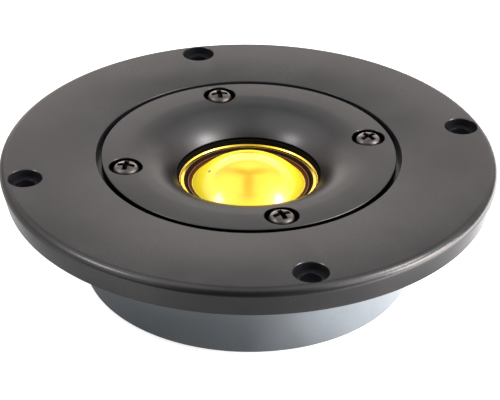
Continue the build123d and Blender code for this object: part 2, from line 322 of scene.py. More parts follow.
class Direction:
    """A vector that varies over a surface."""

    def __init__(self, shader: ShaderTree, socket: bpy.types.NodeSocket) -> None:
        """Wraps a vector output of the shader's tree."""
        self.shader = shader
        self.socket = socket

    def _vector(self, operation: str, other: Triple = ORIGIN) -> bpy.types.Node:
        """Adds one Vector Math node."""
        values = {0: self.socket, 1: other}
        return self.shader.node("ShaderNodeVectorMath", {"operation": operation}, values)

    def times(self, factors: Triple) -> "Direction":
        """Each axis times its factor."""
        return Direction(self.shader, self._vector("MULTIPLY", factors).outputs["Vector"])

    def along(self, axis: Triple) -> Field:
        """The part along an axis."""
        return Field(self.shader, self._vector("DOT_PRODUCT", axis).outputs["Value"])

    def from_point(self, point: Triple) -> Field:
        """The distance from a point."""
        return Field(self.shader, self._vector("DISTANCE", point).outputs["Value"])

    def radius(self) -> Field:
        """The distance from the tweeter's axis."""
        return self.times(LEVEL).from_point(ORIGIN)

    def bearing(self) -> "Direction":
        """The level direction of this vector, of length 1."""
        return Direction(self.shader, self.times(LEVEL)._vector("NORMALIZE").outputs["Vector"])

    def from_diagonals(self, circle: float) -> Field:
        """The distance from the nearest of four upright lines that stand on a circle's diagonals.

        Args:
            circle: radius of the circle, in metres.

        Returns:
            The distance, in metres.
        """
        folded = Direction(self.shader, self.times(LEVEL)._vector("ABSOLUTE").outputs["Vector"])
        reach = circle * math.sqrt(0.5)
        return folded.from_point((reach, reach, 0.0))


# ------------------------------------------------------------------ finishes


@dataclass(frozen=True)
class Finish:
    """A surface finish. The fixed numbers go straight onto the shader's own sockets."""

    name: str
    slot: Slot
    colour: Colour
    metallic: float = 0.0
    roughness: float = 0.5

    def fixed(self) -> dict:
        """Sockets that hold one value all over."""
        return {"Metallic": self.metallic}

    def paint(self, shader: ShaderTree) -> dict:
        """The sockets that vary over the surface.

        Args:
            shader: the material's tree.

        Returns:
            For each socket of the shader, its link or value.
        """
        raise NotImplementedError

    def material(self) -> bpy.types.Material:
        """The material of this finish.

        Returns:
            The one material, made on first use.
        """
        found = bpy.data.materials.get(self.name)
        if found:
            return found
        made = bpy.data.materials.new(self.name)
        shader = ShaderTree(made)
        sockets = {**self.fixed(), **self.paint(shader)}
        surface = shader.node("ShaderNodeBsdfPrincipled", {}, sockets).outputs["BSDF"]
        shader.node("ShaderNodeOutputMaterial", {}, {"Surface": surface})
        return made

    def dress(self, piece: bpy.types.Object) -> None:
        """Gives a piece this finish all over.

        Args:
            piece: an object that scene.py made.
        """
        piece.data.materials.clear()
        piece.data.materials.append(self.material())


@dataclass(frozen=True)
class BlastedMetal(Finish):
    """Metal blasted to an even satin, then darkened. Rings come from the lathe.

    Painted shade darkens the pockets, the shadow groove and the throat's lip, and makes them less
    metallic.
    """

    pale: Colour = (0.1, 0.1, 0.1)
    # colour of the painted shade in the pockets, the groove and on the throat's lip
    painted_shade_colour: Colour = (0.005, 0.005, 0.006)
    top: float = 6.7
    shade_depths: Point = (0.16, 0.04)
    pocket_circle: float = 27.7
    pocket_reach: float = 3.72
    groove_from: float = 32.58
    groove_to: float = 33.82
    edge_blur: float = 0.02
    throat_to: float = 16.03
    throat_blur: float = 0.1
    cloud_scale: float = 70.0
    grain_scale: float = 4200.0
    grain_depth: float = 0.012
    ring_depth: float = 0.0
    ring_pitch: float = 0.35
    wander_scale: float = 900.0
    edge_tint: float = 0.6
    # share of Metallic taken off where shade is painted
    painted_shade_matte: float = 0.0

    def fixed(self) -> dict:
        """The dark anodising dulls the shine at low angles."""
        return {"Specular IOR Level": 0.15, "Specular Tint": (self.edge_tint,) * 3}

    def shaded(self, shader: ShaderTree) -> Field:
        """Finds where shade is painted.

        Args:
            shader: the material's tree.

        Returns:
            1 in the pockets, in the shadow groove and on the throat's lip, 0 elsewhere.
        """
        point = shader.place()
        radius = point.radius()
        blur = self.edge_blur
        shade = metres(tuple(self.top - depth for depth in self.shade_depths))
        pocket_edge = metres((self.pocket_reach, self.pocket_reach + blur))
        groove_start = metres((self.groove_from - blur, self.groove_from))
        groove_end = metres((self.groove_to, self.groove_to + blur))
        throat_edge = metres((self.throat_to, self.throat_to + self.throat_blur))
        below = 1 - point.along(UP).step_up(*shade)
        pocket = 1 - point.from_diagonals(self.pocket_circle * MM).step_up(*pocket_edge)
        groove = radius.band(groove_start, groove_end)
        return below * (pocket + groove) + (1 - radius.step_up(*throat_edge))

    def relief(self, shader: ShaderTree, grain: Field) -> bpy.types.NodeSocket:
        """The fine grain, and the lathe's rings where the finish has them.

        Args:
            shader: the material's tree.
            grain: fine noise from 0 to 1.

        Returns:
            The link to the normal.
        """
        if not self.ring_depth:
            return shader.bump(grain, self.grain_depth * MM)
        rings = (shader.place().radius() * (2 * math.pi / (self.ring_pitch * MM))).sine()
        wander = shader.noise(self.wander_scale, 2.0, (1.0, 1.0, 0.2))
        return shader.bump(rings * 0.5 * wander + grain, self.ring_depth * MM)

    def paint(self, shader: ShaderTree) -> dict:
        """Cloudy tone, fine grain, and painted shade in the pockets, the groove and on the throat's
        lip.

        Args:
            shader: the material's tree.

        Returns:
            For each socket of the shader, its link or value.
        """
        clouds = shader.noise(self.cloud_scale, 3.0)
        grain = shader.noise(self.grain_scale, 2.0)
        metal = shader.mix(clouds.step_up(0.3, 0.7) * 0.7 + grain * 0.3, self.colour, self.pale)
        shaded = self.shaded(shader)
        return {
            # painted shade: a darker colour and less metal where shaded is 1
            "Base Color": shader.mix(shaded, metal, self.painted_shade_colour),
            "Metallic": (1 - shaded * self.painted_shade_matte) * self.metallic,
            "Roughness": self.roughness + (clouds - 0.5) * 0.08 + (grain - 0.5) * 0.1,
            "Normal": self.relief(shader, grain),
        }


@dataclass(frozen=True)
class GoldFoil(Finish):
    """Bright gold on thin foil under a clear coat, with faint waves and amber patches."""

    amber: Colour = (1.0, 0.57, 0.004)
    coat_roughness: float = 0.17
    coat_index: float = 2.0
    patch_scale: float = 260.0
    wave_scale: float = 170.0
    skin_scale: float = 3200.0
    skin_share: float = 0.04
    wave_depth: float = 0.02

    def fixed(self) -> dict:
        """The coat gives the white of the highlights.

        Returns:
            For each socket that holds one value all over, the value.
        """
        return {
            "Specular IOR Level": 0.1,
            "Coat Roughness": self.coat_roughness,
            "Coat IOR": self.coat_index,
        }

    def gold(self, shader: ShaderTree, patches: Field) -> bpy.types.NodeSocket:
        """Gold that shades to amber in patches."""
        return shader.mix(patches.step_up(0.35, 0.75), self.colour, self.amber)

    def waves(self, shader: ShaderTree) -> bpy.types.NodeSocket:
        """The normal of a thin skin that isn't quite even.

        Args:
            shader: the material's tree.

        Returns:
            The link to the normal.
        """
        waves = shader.noise(self.wave_scale, 1.0)
        skin = shader.noise(self.skin_scale, 2.0)
        return shader.bump(waves + skin * self.skin_share, self.wave_depth * MM)


@dataclass(frozen=True)
class GoldDome(GoldFoil):
    """The dome's gold: polished round one spot, satin with painted reflection beyond it, and one
    dark speck.
    """

    # the satin's lighter yellow is partly painted reflection of the bright surroundings
    satin: Colour = (1.0, 0.80, 0.03)
    # middle of the polished spot, set on the camera's side of the dome
    polish: Triple = (1.8, -3.0, 4.3)
    polish_reach: Point = (6.8, 9.3)
    satin_share: float = 0.9
    satin_roughness: float = 0.2
    coat: Point = (0.42, 0.22)
    worn_side: Triple = (-0.505, 0.863, 0.0)
    worn_reach: Point = (-1.0, 4.0)
    worn_share: float = 0.85
    speck: Triple = (-6.99, -5.30, 2.13)
    speck_radii: Point = (0.25, 0.50)
    speck_colour: Colour = (0.12, 0.06, 0.01)

    def paint(self, shader: ShaderTree) -> dict:
        """Polish that fades to satin with painted reflection, a coat that thins on one side, and
        the speck.

        Args:
            shader: the material's tree.

        Returns:
            For each socket of the shader, its link or value.
        """
        point = shader.place()
        patches = shader.noise(self.patch_scale, 3.0)
        satin_and_painted_reflection = point.from_point(metres(self.polish)).step_up(*metres(self.polish_reach))
        worn = point.along(self.worn_side).step_up(*metres(self.worn_reach))
        speck = 1 - point.from_point(metres(self.speck)).step_up(*metres(self.speck_radii))
        # painted reflection: lighter satin yellow beyond the polished spot
        colour = shader.mix(satin_and_painted_reflection, self.gold(shader, patches), self.satin)
        thin, patchy = self.coat
        return {
            "Base Color": shader.mix(speck, colour, self.speck_colour),
            "Metallic": (1 - satin_and_painted_reflection * self.satin_share) * self.metallic,
            "Roughness": self.roughness + satin_and_painted_reflection * self.satin_roughness,
            "Coat Weight": (thin + patches * patchy) * (1 - worn * self.worn_share),
            "Normal": self.waves(shader),
        }


@dataclass(frozen=True)
class GoldSurround(GoldFoil):
    """The surround's gold, brown lacquer and painted shadow in the valley, painted highlight on the
    bead.
    """

    lacquer: Colour = (0.095, 0.026, 0.003)
    shadow: Colour = (0.012, 0.003, 0.002)
    # colour of the painted highlight line on the bead
    painted_bead_highlight: Colour = (0.30, 0.13, 0.06)
    valley: Point = (12.6, 14.5)
    valley_blur: float = 0.08
    bead: Point = (13.40, 13.55)
    bead_blur: float = 0.06
    shadow_from: Point = (12.7, 13.9)
    streak_scale: float = 1500.0
    coat: float = 0.25
    lacquer_share: float = 0.85
    lacquer_roughness: float = 0.5

    @staticmethod
    def ring(radius: Field, limits: Point, blur: float) -> Field:
        """1 between two radii.

        Args:
            radius: from the axis, in metres.
            limits: the two radii, in millimetres.
            blur: half the width of each soft edge, in millimetres.

        Returns:
            1 between the radii, 0 outside them.
        """
        return radius.band(*(metres((limit - blur, limit + blur)) for limit in limits))

    def paint(self, shader: ShaderTree) -> dict:
        """Gold on the rim, brown in the valley with painted shadow outwards, and a painted bead
        highlight.

        Args:
            shader: the material's tree.

        Returns:
            For each socket of the shader, its link or value.
        """
        radius = shader.place().radius()
        mask = self.ring(radius, self.valley, self.valley_blur)
        line = self.ring(radius, self.bead, self.bead_blur)
        streaks = shader.noise(self.streak_scale, 2.0)
        # painted shadow: the brown darkens outwards across the valley
        brown = shader.mix(radius.step_up(*metres(self.shadow_from)), self.lacquer, self.shadow)
        # painted highlight: a lighter, streaky line along the bead
        brown = shader.mix(line * (0.5 + streaks), brown, self.painted_bead_highlight)
        gold = self.gold(shader, shader.noise(self.patch_scale, 3.0))
        return {
            "Base Color": shader.mix(mask, gold, brown),
            "Metallic": 1 - mask * self.lacquer_share,
            "Roughness": self.roughness + mask * self.lacquer_roughness,
            "Coat Weight": (1 - mask) * self.coat,
            "Normal": self.waves(shader),
        }


@dataclass(frozen=True)
class PolishedMetal(Finish):
    """Metal with hairline scratches, a slightly uneven polish and, in screws, painted shade in the
    recess.
    """

    stain: Colour = (0.2, 0.18, 0.17)
    # colour of the painted shade in the screws' cross recesses
    painted_recess_shade: Colour = (0.006, 0.005, 0.005)
    recess: Triple | None = None
    recess_blur: float = 0.1
    recess_depths: Point = (0.42, 0.3)
    patch_scale: float = 900.0
    scratch_scale: float = 2600.0
    scratch_depth: float = 0.004

    def recessed(self, shader: ShaderTree) -> Field:
        """Finds the recesses of the four screws.

        Args:
            shader: the material's tree.

        Returns:
            1 in the recesses, 0 elsewhere.
        """
        circle, reach, crown = self.recess
        point = shader.place()
        edge = metres((reach, reach + self.recess_blur))
        floor = metres(tuple(crown - depth for depth in self.recess_depths))
        inside = 1 - point.from_diagonals(circle * MM).step_up(*edge)
        return inside * (1 - point.along(UP).step_up(*floor))

    def paint(self, shader: ShaderTree) -> dict:
        """Tone in patches, scratches both ways, and painted shade in the screws' recesses.

        Args:
            shader: the material's tree.

        Returns:
            For each socket of the shader, its link or value.
        """
        patches = shader.noise(self.patch_scale, 3.0)
        lengthways = shader.noise(self.scratch_scale, 2.0, (1.0, 0.08, 1.0))
        crossways = shader.noise(self.scratch_scale, 2.0, (0.08, 1.0, 1.0))
        metal = shader.mix(patches.step_up(0.35, 0.8), self.colour, self.stain)
        if self.recess:
            # painted shade in the cross recess
            metal = shader.mix(self.recessed(shader), metal, self.painted_recess_shade)
        return {
            "Base Color": metal,
            "Roughness": self.roughness + (patches - 0.5) * 0.2,
            "Normal": shader.bump(lengthways + crossways, self.scratch_depth * MM),
        }


@dataclass(frozen=True)
class ZincPlate(Finish):
    """Drawn steel with a satin zinc plate: fine lines round the wall, faint cloud and spangle."""

    cloud: Colour = (0.36, 0.39, 0.43)
    cloud_scale: float = 110.0
    spangle_scale: float = 1400.0
    line_scale: float = 90.0
    grain_scale: float = 5200.0
    line_depth: float = 0.006

    def paint(self, shader: ShaderTree) -> dict:
        """Clouded tone, drawn lines along the height and a light grain.

        Args:
            shader: the material's tree.

        Returns:
            For each socket of the shader, its link or value.
        """
        clouds = shader.noise(self.cloud_scale, 4.0)
        spangle = shader.cells(self.spangle_scale)
        drawn = shader.noise(self.line_scale, 3.0, (1.0, 1.0, 45.0))
        grain = shader.noise(self.grain_scale, 1.0)
        tone = clouds.step_up(0.3, 0.75) * 0.6 + spangle * 0.3
        return {
            "Base Color": shader.mix(tone, self.colour, self.cloud),
            "Roughness": self.roughness + (drawn - 0.5) * 0.14 + (clouds - 0.5) * 0.08,
            "Normal": shader.bump(drawn * 0.6 + grain * 0.4, self.line_depth * MM),
        }


@dataclass(frozen=True)
class Moulded(Finish):
    """Moulded plastic or sintered ceramic with a fine, even texture."""

    worn: Colour = (0.05, 0.05, 0.05)
    patch_scale: float = 160.0
    texture: float = 2600.0
    texture_depth: float = 0.02

    def paint(self, shader: ShaderTree) -> dict:
        """Fine texture and slight fading.

        Args:
            shader: the material's tree.

        Returns:
            For each socket of the shader, its link or value.
        """
        patches = shader.noise(self.patch_scale, 3.0)
        texture = shader.noise(self.texture, 3.0)
        return {
            "Base Color": shader.mix(patches.step_up(0.35, 0.8), self.colour, self.worn),
            "Roughness": self.roughness + (texture - 0.5) * 0.15,
            "Normal": shader.bump(texture, self.texture_depth * MM),
        }


@dataclass(frozen=True)
class Foam(Finish):
    """Closed-cell foam: small pits all over."""

    pit: Colour = (0.001, 0.001, 0.001)
    cell: float = 2400.0
    pit_depth: float = 0.08
    pit_strength: float = 0.6

    def fixed(self) -> dict:
        """Hardly any shine."""
        return {"Metallic": 0.0, "Specular IOR Level": 0.08}

    def paint(self, shader: ShaderTree) -> dict:
        """Pits from scattered cells.

        Args:
            shader: the material's tree.

        Returns:
            For each socket of the shader, its link or value.
        """
        cells = shader.cells(self.cell)
        return {
            "Base Color": shader.mix(cells, self.colour, self.pit),
            "Roughness": self.roughness - cells * 0.08,
            "Normal": shader.bump(cells, self.pit_depth * MM, self.pit_strength),
        }


@dataclass(frozen=True)
class Felt(Finish):
    """Pressed wool felt: tangled fibres and a little sheen."""

    fibre: Colour = (0.16, 0.16, 0.16)
    fibre_scale: float = 2200.0
    fibre_depth: float = 0.15

    def fixed(self) -> dict:
        """Sheen stays the same all over."""
        return {"Metallic": 0.0, "Sheen Weight": 0.3, "Sheen Roughness": 0.5}

    def paint(self, shader: ShaderTree) -> dict:
        """Fibres that run both ways.

        Args:
            shader: the material's tree.

        Returns:
            For each socket of the shader, its link or value.
        """
        across = shader.noise(self.fibre_scale, 4.0, (1.0, 0.15, 1.0))
        along = shader.noise(self.fibre_scale, 4.0, (0.15, 1.0, 1.0))
        fibres = (across + along) * 0.5
        return {
            "Base Color": shader.mix(fibres.step_up(0.4, 0.65), self.colour, self.fibre),
            "Roughness": self.roughness + (fibres - 0.5) * 0.1,
            "Normal": shader.bump(fibres, self.fibre_depth * MM),
        }


@dataclass(frozen=True)
class Winding(Finish):
    """Close-wound copper wire under a thin varnish."""

    gap: Colour = (0.18, 0.06, 0.02)
    wire: float = 0.16

    def paint(self, shader: ShaderTree) -> dict:
        """One dark line between each turn and the next.

        Args:
            shader: the material's tree.

        Returns:
            For each socket of the shader, its link or value.
        """
        height = shader.place().along(UP)
        turns = (height * (2 * math.pi / (self.wire * MM))).sine() * 0.5 + 0.5
        return {
            "Base Color": shader.mix(turns, self.gap, self.colour),
            "Roughness": self.roughness + (1 - turns) * 0.25,
            "Normal": shader.bump(turns, self.wire * 0.3 * MM),
        }


@dataclass(frozen=True)
class FinishBook:
    """Every finish of the tweeter."""

    front: Finish = BlastedMetal(
        "blasted_front", Slot.FRONT, (0.048, 0.0465, 0.047), 0.9, 0.25,
        # The darker colour and the metallic drop set here are painted shade in the holes and
        # groove.
        pale=(0.061, 0.059, 0.0595), painted_shade_colour=(0.012, 0.012, 0.015), painted_shade_matte=0.9, pocket_circle=49.8)
    insert: Finish = BlastedMetal(
        "turned_insert", Slot.INSERT, (0.051, 0.0495, 0.050), 0.9, 0.30,
        pale=(0.063, 0.061, 0.0615), ring_depth=0.006)
    screw: Finish = PolishedMetal(
        "smoked_nickel", Slot.SCREW, (0.105, 0.094, 0.090), 0.9, 0.36, stain=(0.055, 0.045, 0.042),
        recess=(27.7, 2.0, 7.15))
    dome: Finish = GoldDome("gold_dome", Slot.GOLD, (1.0, 0.62, 0.006), 0.72, 0.18)
    surround: Finish = GoldSurround("gold_surround", Slot.GOLD, (1.0, 0.70, 0.10), 1.0, 0.22)
    cup: Finish = ZincPlate(
        "zinc_cup", Slot.STEEL, (0.235, 0.255, 0.275), 0.9, 0.40, cloud=(0.20, 0.22, 0.245))
    motor_steel: Finish = ZincPlate("zinc_motor", Slot.STEEL, (0.50, 0.50, 0.49), 0.95, 0.35)
    ferrite: Finish = Moulded(
        "ferrite", Slot.FERRITE, (0.035, 0.035, 0.04), 0.1, 0.62,
        worn=(0.07, 0.07, 0.075), texture=1800.0)
    copper: Finish = PolishedMetal(
        "copper", Slot.COPPER, (0.90, 0.45, 0.27), 1.0, 0.28, stain=(0.55, 0.24, 0.13))
    coil: Finish = Winding("coil_winding", Slot.COPPER, (0.80, 0.34, 0.14), 0.9, 0.30)
    tin: Finish = PolishedMetal(
        "tin_plate", Slot.TIN, (0.66, 0.65, 0.61), 1.0, 0.33, stain=(0.45, 0.44, 0.40))
    plastic: Finish = Moulded(
        "moulded_black", Slot.PLASTIC, (0.018, 0.018, 0.019), 0.0, 0.48, worn=(0.03, 0.03, 0.03))
    film: Finish = Moulded(
        "former_film", Slot.FILM, (0.32, 0.14, 0.03), 0.0, 0.35,
        worn=(0.4, 0.19, 0.05), texture_depth=0.004)
    foam: Finish = Foam("foam_black", Slot.FOAM, (0.004, 0.003, 0.0035), 0.0, 0.95)
    felt: Finish = Felt("felt_grey", Slot.FELT, (0.05, 0.05, 0.05), 0.0, 0.9)
    red_sleeve: Finish = Moulded(
        "sleeve_red", Slot.SLEEVE, (0.45, 0.02, 0.02), 0.0, 0.4, worn=(0.5, 0.04, 0.03))
    black_sleeve: Finish = Moulded(
        "sleeve_black", Slot.PLASTIC, (0.02, 0.02, 0.02), 0.0, 0.4, worn=(0.035, 0.035, 0.035))


# ------------------------------------------------------------------ mesh tools

ROUND_STEPS = 256
HOLE_STEPS = 72
HEAD_STEPS = 64
THREAD_STEPS = 36
DIAGONAL = 45.0
OVERCUT = 1.0
ON_AXIS = 1e-6
WELD = 1e-7
CAD_WELD = 1e-6
FLAT_ANGLE = math.radians(0.5)
SMOOTH_ANGLE = math.radians(28)
EASE_ANGLE = math.radians(35)
EASE_SEGMENTS = 3


@dataclass
class Outline:
    """A closed outline in the (radius, height) plane, in millimetres, made point by point."""

    points: list[Point] = field(default_factory=list)

    def to(self, radius: float, height: float) -> "Outline":
        """A straight run to a point."""
        self.points.append((radius, height))
        return self

    def through(self, points: list[Point]) -> "Outline":
        """A run through several points."""
        self.points.extend(points)
        return self

    def arc(self, centre: Point, radius: float, start: float, end: float, steps: int) -> "Outline":
        """A round stretch.

        Args:
            centre: of the arc.
            radius: of the arc.
            start: first angle in degrees, 0 outward and 90 up.
            end: last angle in degrees.
            steps: straight pieces that stand for the arc.

        Returns:
            The outline itself.
        """
        for step in range(steps + 1):
            angle = math.radians(start + (end - start) * step / steps)
            self.to(centre[0] + radius * math.cos(angle), centre[1] + radius * math.sin(angle))
        return self

    def turned(
        self, name: str, steps: int = ROUND_STEPS, at: Point = (0.0, 0.0),
    ) -> bpy.types.Object:
        """The solid that the outline sweeps round the vertical line through a point.

        Args:
            name: of the new object.
            steps: round the axis.
            at: where the axis stands.

        Returns:
            A new object, linked to the scene.
        """
        shape = bmesh.new()
        rings = []
        for radius, height in self.points:
            if radius < ON_AXIS:
                rings.append([shape.verts.new((at[0] * MM, at[1] * MM, height * MM))])
                continue
            rings.append([
                shape.verts.new((
                    (at[0] + radius * math.cos(2 * math.pi * step / steps)) * MM,
                    (at[1] + radius * math.sin(2 * math.pi * step / steps)) * MM,
                    height * MM,
                ))
                for step in range(steps)
            ])
        for low, high in zip(rings, rings[1:] + rings[:1]):
            if len(low) == 1 and len(high) == 1:
                continue
            for step in range(steps):
                after = (step + 1) % steps
                corners = [
                    low[step % len(low)], low[after % len(low)],
                    high[after % len(high)], high[step % len(high)],
                ]
                shape.faces.new(list(dict.fromkeys(corners)))
        return finish_mesh(name, shape)


def finish_mesh(name: str, shape: bmesh.types.BMesh) -> bpy.types.Object:
    """Turns an edit mesh into a shaded object.

    Args:
        name: of the new object.
        shape: the edit mesh, which is freed.

    Returns:
        A new object, linked to the scene.
    """
    bmesh.ops.remove_doubles(shape, verts=shape.verts, dist=WELD)
    bmesh.ops.recalc_face_normals(shape, faces=shape.faces)
    mesh = bpy.data.meshes.new(name)
    shape.to_mesh(mesh)
    shape.free()
    piece = bpy.data.objects.new(name, mesh)
    bpy.context.scene.collection.objects.link(piece)
    shade(piece)
    return piece


def shade(piece: bpy.types.Object) -> None:
    """Smooth shading, sharp at real edges."""
    piece.data.shade_smooth()
    piece.data.set_sharp_from_angle(angle=SMOOTH_ANGLE)


def discard(piece: bpy.types.Object) -> None:
    """Deletes an object with its mesh.

    Args:
        piece: an object that scene.py made.
    """
    mesh = piece.data
    bpy.data.objects.remove(piece)
    bpy.data.meshes.remove(mesh)


def apply_modifiers(piece: bpy.types.Object) -> None:
    """Bakes a piece's modifiers into its mesh and shades it again.

    Args:
        piece: an object that scene.py made.
    """
    graph = bpy.context.evaluated_depsgraph_get()
    mesh = bpy.data.meshes.new_from_object(piece.evaluated_get(graph))
    piece.modifiers.clear()
    old, piece.data = piece.data, mesh
    mesh.name = piece.name
    bpy.data.meshes.remove(old)
    shade(piece)


def carve(piece: bpy.types.Object, cutters: list[bpy.types.Object]) -> None:
    """Cuts solids out of a piece.

    Args:
        piece: what is cut.
        cutters: the solids to cut away, which are deleted.
    """
    for cutter in cutters:
        cut = piece.modifiers.new("cut", "BOOLEAN")
        cut.operation = "DIFFERENCE"
        cut.solver = "EXACT"
        cut.object = cutter
    apply_modifiers(piece)
    for cutter in cutters:
        discard(cutter)


def joined(name: str, pieces: list[bpy.types.Object]) -> bpy.types.Object:
    """Makes one object from several.

    Args:
        name: of the new object.
        pieces: the objects to join, which are deleted.

    Returns:
        A new object, linked to the scene.
    """
    shape = bmesh.new()
    for piece in pieces:
        shape.from_mesh(piece.data)
        discard(piece)
    return finish_mesh(name, shape)


def prism(name: str, rings: list[list[Triple]]) -> bpy.types.Object:
    """A solid lofted through closed rings and capped at both ends.

    Args:
        name: of the new object.
        rings: the rings in order, in millimetres, each with the same number of points.

    Returns:
        A new object, linked to the scene.
    """
    shape = bmesh.new()
    loops = [[shape.verts.new(Vector(point) * MM) for point in ring] for ring in rings]
    for low, high in zip(loops, loops[1:]):
        for here, after in zip(range(len(low)), list(range(1, len(low))) + [0]):
            shape.faces.new([low[here], low[after], high[after], high[here]])
    shape.faces.new(loops[0])
    shape.faces.new(loops[-1])
    return finish_mesh(name, shape)


def block(name: str, low: Triple, high: Triple) -> bpy.types.Object:
    """A square-edged cutter between two corners, in millimetres."""
    corners = [(low[0], low[1]), (high[0], low[1]), (high[0], high[1]), (low[0], high[1])]
    return prism(name, [[(x, y, z) for x, y in corners] for z in (low[2], high[2])])


def round_pocket(radius: float, top: float, floor: float, ease: float) -> Outline:
    """The section of a cutter for a round pocket with an eased mouth, as far as its floor.

    Args:
        radius: of the pocket.
        top: height of the face that it is cut into.
        floor: height of its floor.
        ease: width of the eased edge.

    Returns:
        An outline that ends at the corner of the floor.
    """
    mouth = radius + ease
    section = Outline().to(0, top + OVERCUT).to(mouth, top + OVERCUT).to(mouth, top)
    return section.to(radius, top - ease).to(radius, floor)


def around(count: int, first: float, radius: float) -> list[Point]:
    """Places spaced evenly round a circle, from an angle in degrees."""
    angles = [math.radians(first + 360 * step / count) for step in range(count)]
    return [(radius * math.cos(angle), radius * math.sin(angle)) for angle in angles]


def shares(steps: int) -> list[float]:
    """Even shares from 0 to 1."""
    return [step / steps for step in range(steps + 1)]


def eased(node: str, width: float) -> bpy.types.Object:
    """A copy of a CAD node with its sharp edges eased.

    Args:
        node: the node's name.
        width: of the eased edge, in millimetres.

    Returns:
        A new object that isn't yet riding on anything.
    """
    shape = bmesh.new()
    shape.from_mesh(frame["nodes"][node].data)
    bmesh.ops.remove_doubles(shape, verts=shape.verts, dist=CAD_WELD)
    bmesh.ops.dissolve_limit(
        shape, angle_limit=FLAT_ANGLE, use_dissolve_boundaries=False,
        verts=shape.verts, edges=shape.edges, delimit=set(),
    )
    piece = finish_mesh(f"{node}_eased", shape)
    bevel = piece.modifiers.new("ease", "BEVEL")
    bevel.width = width * MM
    bevel.segments = EASE_SEGMENTS
    bevel.limit_method = "ANGLE"
    bevel.angle_limit = EASE_ANGLE
    bevel.use_clamp_overlap = True
    apply_modifiers(piece)
    return piece


def top_of(node: str) -> float:
    """The highest point of a CAD node, in millimetres."""
    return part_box(node)[1].z / MM


def bottom_of(node: str) -> float:
    """The lowest point of a CAD node, in millimetres."""
    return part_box(node)[0].z / MM


def radius_of(node: str) -> float:
    """The largest reach of a round CAD node, in millimetres."""
    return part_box(node)[1].x / MM


def place(piece: bpy.types.Object, body: Body, finish: Finish, *nodes: str) -> None:
    """Dresses a new piece, puts it on its body and lets it stand for CAD nodes.

    Args:
        piece: an object that scene.py made.
        body: the body that it rides on.
        finish: its finish.
        *nodes: the CAD nodes that it stands for.
    """
    finish.dress(piece)
    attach(piece, body.value)
    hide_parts(*nodes)
    LOG.info("%s stands for %s", piece.name, ", ".join(nodes))


def stretch(
    piece: bpy.types.Object, finish: Finish, node: str, still: Triple, moving: Triple,
) -> None:
    """Dresses a soft piece that stands for a CAD node and bakes its transform into its mesh.

    Args:
        piece: an object that scene.py made.
        finish: its finish.
        node: the CAD node that it stands for.
        still: not used.
        moving: not used.
    """
    finish.dress(piece)
    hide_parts(node)
    metres(still)
    metres(moving)
    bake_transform(piece)
    LOG.info("%s stands for %s", piece.name, node)


def carry_over(nodes: dict[str, Finish]) -> None:
    """Dresses CAD nodes whose shape is used as it is.

    Args:
        nodes: for each node's name, its finish.
    """
    for node, finish in nodes.items():
        piece = frame["nodes"][node]
        piece.data.materials.clear()
        piece.data.materials.append(finish.material())
        LOG.info("%s keeps its own shape", node)


# ------------------------------------------------------------------ front


@dataclass
class FrontFlange:
    """The thick front flange: rounded rim, leaning side, shadow groove, counterbored holes."""

    book: FinishBook
    edge_round: float = 1.75
    draft: float = 1.0
    rear_round: float = 0.35
    groove_lip: float = 0.22
    groove_width: float = 1.2
    groove_depth: float = 2.4
    clamp_bore: float = 31.0
    cup_groove: Point = (35.7, 37.5)
    cup_groove_depth: float = 0.6
    pocket_radius: float = 3.7
    pocket_depth: float = 1.7
    hole_ease: float = 0.14
    relief_half_width: float = 9.9
    relief_inner: float = 32.3
    relief_outer: float = 49.8

    def outline(self) -> Outline:
        """The flange's section.

        Returns:
            The outline, from the clamp's bore outwards.
        """
        top = top_of("front_flange")
        rim = radius_of("front_flange")
        groove = radius_of("waveguide_insert") + self.groove_width
        ledge = top - self.groove_depth
        lean = math.degrees(math.atan2(self.draft, top - self.edge_round))
        foot = rim - self.draft
        inner, outer = self.cup_groove
        section = Outline()
        section.to(self.clamp_bore, 0).to(inner, 0).to(inner, self.cup_groove_depth)
        section.to(outer, self.cup_groove_depth).to(outer, 0)
        section.arc((foot - self.rear_round, self.rear_round), self.rear_round, -90, -lean, 6)
        section.arc((rim - self.edge_round, top - self.edge_round), self.edge_round, -lean, 90, 18)
        section.arc((groove + self.groove_lip, top - self.groove_lip), self.groove_lip, 90, 180, 5)
        section.to(groove, ledge).to(self.clamp_bore, ledge)
        return section

    def hole_cutter(self, spot: Point, hole: float) -> bpy.types.Object:
        """The counterbored hole, with eased edges.

        Args:
            spot: the hole's place on the flange.
            hole: radius of the hole.

        Returns:
            A solid to cut away.
        """
        top = top_of("front_flange")
        floor = top - self.pocket_depth
        ease = self.hole_ease / 3
        cutter = round_pocket(self.pocket_radius, top, floor, self.hole_ease)
        cutter.to(hole + ease, floor).to(hole, floor - ease).to(hole, -OVERCUT).to(0, -OVERCUT)
        return cutter.turned("hole_cutter", HOLE_STEPS, spot)

    def build(self) -> None:
        """Makes the flange and puts it in place."""
        piece = self.outline().turned("flange_body")
        holes = frame["record"]["mounts"][0]["dims"]
        relief = block(
            "relief", (-self.relief_half_width, self.relief_inner, -OVERCUT),
            (self.relief_half_width, self.relief_outer, self.cup_groove_depth),
        )
        spots = around(holes["count"], DIAGONAL, holes["pcd_mm"] / 2)
        carve(piece, [relief, *(self.hole_cutter(spot, holes["hole_r_mm"]) for spot in spots)])
        place(piece, Body.CHASSIS, self.book.front, "front_flange")


